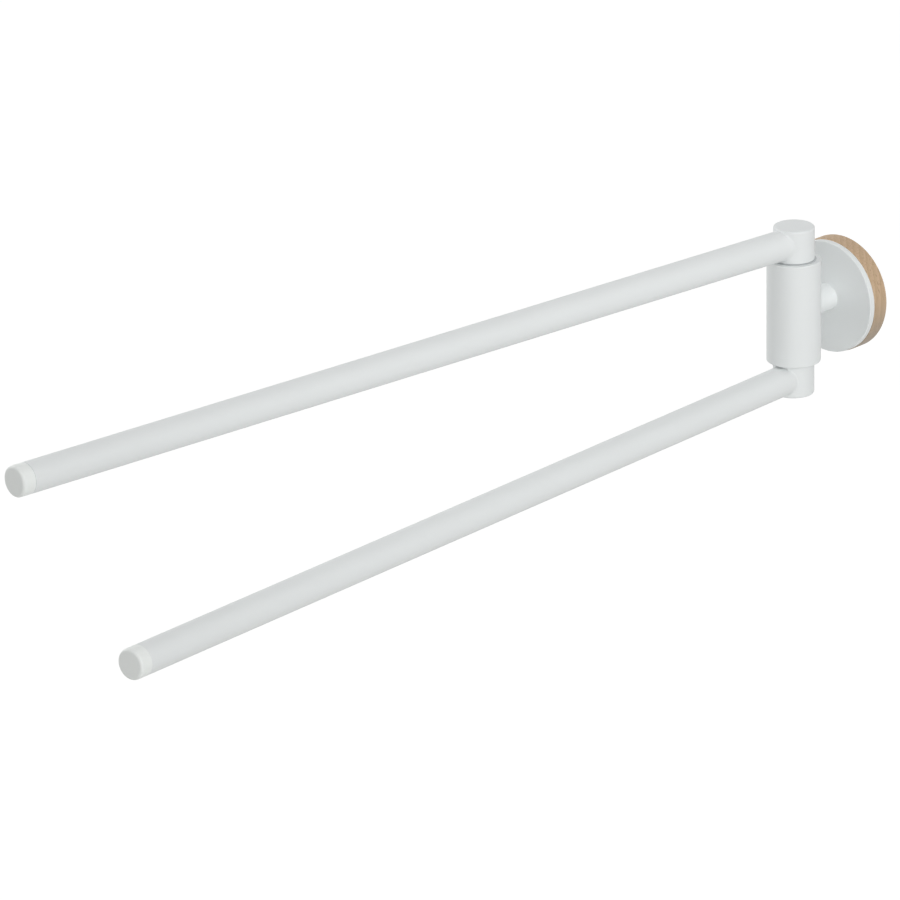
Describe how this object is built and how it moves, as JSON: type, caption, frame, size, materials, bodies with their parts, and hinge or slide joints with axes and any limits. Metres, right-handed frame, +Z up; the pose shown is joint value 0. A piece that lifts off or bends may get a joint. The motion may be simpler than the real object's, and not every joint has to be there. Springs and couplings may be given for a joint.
{
  "type": "two-arm towel holder",
  "caption": "Wall-mounted towel holder: long round arms swing sideways on an upright pivot barrel, carried by a short neck on a round rosette with a wooden ring.",
  "frame": {"origin": "centre of the round mount on the wall's plane, at the middle of the wall plate's back face", "axes": "+Y into the wall and square to it, so the arms reach along -Y; +Z up, along the pivot; +X along the wall"},
  "size_m": [0.0757, 0.4506, 0.074],
  "materials": {
    "white_powder_coat": "white satin powder coat on steel",
    "white_cap_plastic": "moulded white plastic, satin gloss",
    "wood": "turned pale wood, oiled",
    "stainless_steel": "turned stainless steel",
    "zinc_plated_steel": "bright zinc plate",
    "spring_steel": "oiled spring steel",
    "grey_acetal": "moulded light grey acetal"
  },
  "bodies": {
    "wall_mount": {"wall_plate": "zinc_plated_steel", "wood_ring": "wood", "rosette": "white_powder_coat", "rosette_set_screw": "stainless_steel", "neck_post": "white_powder_coat", "neck_screw": "zinc_plated_steel", "neck_washer": "zinc_plated_steel", "pivot_barrel": "white_powder_coat", "upper_bush": "grey_acetal", "lower_bush": "grey_acetal"},
    "upper_arm": {"upper_knuckle": "white_powder_coat", "upper_arm_tube": "white_powder_coat", "upper_end_cap": "white_cap_plastic", "pivot_bolt": "stainless_steel", "head_washer": "stainless_steel", "disc_spring": "spring_steel"},
    "lower_arm": {"lower_knuckle": "white_powder_coat", "lower_arm_tube": "white_powder_coat", "lower_end_cap": "white_cap_plastic", "friction_washer": "grey_acetal"}
  },
  "joints": [
    {"name": "upper_arm_swing", "type": "hinge", "parent": "wall_mount", "child": "upper_arm", "pos_m": [0, -0.0315, 0], "axis": [0, 0, 1], "range_deg": [-84.4, 95.6]},
    {"name": "lower_arm_swing", "type": "hinge", "parent": "wall_mount", "child": "lower_arm", "pos_m": [0, -0.0315, 0], "axis": [0, 0, 1], "range_deg": [-93, 87]}
  ]
}
